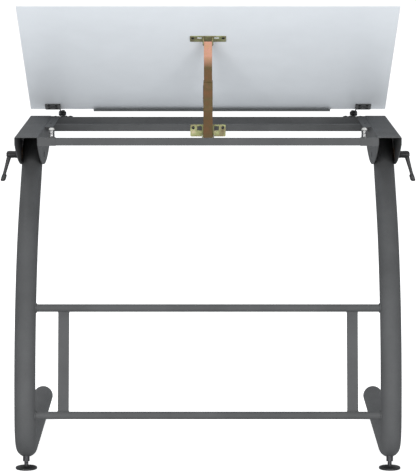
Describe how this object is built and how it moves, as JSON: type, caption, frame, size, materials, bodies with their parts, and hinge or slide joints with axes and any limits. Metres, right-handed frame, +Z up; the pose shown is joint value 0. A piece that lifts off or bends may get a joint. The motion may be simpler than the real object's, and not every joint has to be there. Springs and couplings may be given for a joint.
{
  "type": "drafting table",
  "caption": "Drafting table: a tilting white drawing board on a sheet and tube frame clamped between C-shaped tube legs, propped by a telescopic stay.",
  "frame": {"origin": "on the floor, at the middle of the box around the table", "axes": "+X to the right of a person who sits at the table, the sitter's side is -Y, +Z up"},
  "size_m": [1.0218, 0.7751, 1.097],
  "materials": {
    "powder_coat": "fine-textured charcoal powder coat",
    "bare_steel": "bright zinc plate",
    "spring_steel": "blued spring steel",
    "black_plastic": "matte moulded",
    "zinc_plate": "yellow passivated zinc",
    "hinge_plate": "grey, satin",
    "laminate": "white melamine on particle board",
    "edging": "white PVC edge band",
    "ledge_paint": "satin grey",
    "bumper_rubber": "matte pale rubber",
    "fibre": "pressed fibre"
  },
  "bodies": {
    "base": {"leg_right": "powder_coat", "leg_left": "powder_coat", "clamp_sleeves": "bare_steel", "foot_plugs": "black_plastic", "leg_caps": "black_plastic", "glide_bosses": "bare_steel", "crossbar_upper": "powder_coat", "crossbar_lower": "powder_coat", "brace_strip_right": "powder_coat", "brace_strip_left": "powder_coat"},
    "frame": {"bracket_right": "powder_coat", "bracket_left": "powder_coat", "rail_rear": "powder_coat", "rail_middle": "powder_coat", "rail_front": "powder_coat", "corner_plates": "powder_coat", "rail_collars": "powder_coat", "post_saddles": "powder_coat", "rest_posts": "bare_steel", "post_bumpers": "bumper_rubber", "clamp_bolt_right": "bare_steel", "clamp_bolt_left": "bare_steel", "clamp_washers": "bare_steel", "friction_discs": "fibre", "frame_hinge_right": "hinge_plate", "frame_hinge_left": "hinge_plate", "frame_hinge_screws": "bare_steel", "stay_foot_plate": "zinc_plate", "stay_foot_screws": "bare_steel", "stay_foot_pin": "bare_steel"},
    "board": {"drawing_board": "laminate", "edge_band": "edging", "board_hinge_right": "hinge_plate", "board_hinge_left": "hinge_plate", "board_hinge_screws": "bare_steel", "hinge_bolt_right": "bare_steel", "hinge_bolt_left": "bare_steel", "ledge_screws": "bare_steel", "stay_head_plate": "zinc_plate", "stay_head_screws": "bare_steel", "stay_head_pin": "bare_steel"},
    "ledge": {"pencil_ledge": "ledge_paint"},
    "stay_lower": {"stay_outer_arm": "zinc_plate", "stay_detent_spring": "spring_steel", "detent_rivets": "bare_steel"},
    "stay_upper": {"stay_inner_arm": "zinc_plate"},
    "lever_right": {"lever_nut_right": "bare_steel", "lever_handle_right": "black_plastic"},
    "knob_right": {"hinge_knob_right": "black_plastic"},
    "glide_rear_right": {"glide_pad_rear_right": "black_plastic", "glide_stud_rear_right": "bare_steel"},
    "glide_front_right": {"glide_pad_front_right": "black_plastic", "glide_stud_front_right": "bare_steel"},
    "lever_left": {"lever_nut_left": "bare_steel", "lever_handle_left": "black_plastic"},
    "knob_left": {"hinge_knob_left": "black_plastic"},
    "glide_rear_left": {"glide_pad_rear_left": "black_plastic", "glide_stud_rear_left": "bare_steel"},
    "glide_front_left": {"glide_pad_front_left": "black_plastic", "glide_stud_front_left": "bare_steel"}
  },
  "joints": [
    {"name": "frame_tilt", "type": "hinge", "parent": "base", "child": "frame", "pos_m": [0, -0.00442, 0.7135], "axis": [1, 0, 0], "range_deg": [-10, 10]},
    {"name": "board_tilt", "type": "hinge", "parent": "frame", "child": "board", "pos_m": [0, -0.35642, 0.7845], "axis": [1, 0, 0], "range_deg": [-28.3, 0]},
    {"name": "ledge_slide", "type": "slide", "parent": "board", "child": "ledge", "axis": [0, -0.4741, 0.8805], "range_m": [-0.012, 0]},
    {"name": "stay_lower_swing", "type": "hinge", "parent": "frame", "child": "stay_lower", "pos_m": [0, -0.11542, 0.748], "axis": [1, 0, 0], "range_deg": [-49.49, 0]},
    {"name": "stay_upper_swing", "type": "hinge", "parent": "board", "child": "stay_upper", "pos_m": [0, 0.01028, 0.98706], "axis": [1, 0, 0], "range_deg": [-21.19, 0]},
    {"name": "clamp_lever_right", "type": "hinge", "parent": "frame", "child": "lever_right", "pos_m": [0.4572, -0.00442, 0.7135], "axis": [1, 0, 0], "range_deg": [-100, 100]},
    {"name": "hinge_knob_turn_right", "type": "hinge", "parent": "board", "child": "knob_right", "pos_m": [0.3707, -0.35642, 0.7845], "axis": [1, 0, 0], "continuous": true},
    {"name": "glide_rear_right_screw", "type": "slide", "parent": "base", "child": "glide_rear_right", "axis": [0, 0, 1], "range_m": [-0.012, 0.006]},
    {"name": "glide_front_right_screw", "type": "slide", "parent": "base", "child": "glide_front_right", "axis": [0, 0, 1], "range_m": [-0.012, 0.006]},
    {"name": "clamp_lever_left", "type": "hinge", "parent": "frame", "child": "lever_left", "pos_m": [-0.4572, -0.00442, 0.7135], "axis": [1, 0, 0], "range_deg": [-100, 100]},
    {"name": "hinge_knob_turn_left", "type": "hinge", "parent": "board", "child": "knob_left", "pos_m": [-0.3707, -0.35642, 0.7845], "axis": [1, 0, 0], "continuous": true},
    {"name": "glide_rear_left_screw", "type": "slide", "parent": "base", "child": "glide_rear_left", "axis": [0, 0, 1], "range_m": [-0.012, 0.006]},
    {"name": "glide_front_left_screw", "type": "slide", "parent": "base", "child": "glide_front_left", "axis": [0, 0, 1], "range_m": [-0.012, 0.006]}
  ],
  "couplings": [
    {"joint": "stay_lower_swing", "follows": "board_tilt", "ratio": 1.7416},
    {"joint": "stay_upper_swing", "follows": "board_tilt", "ratio": 0.7416}
  ]
}
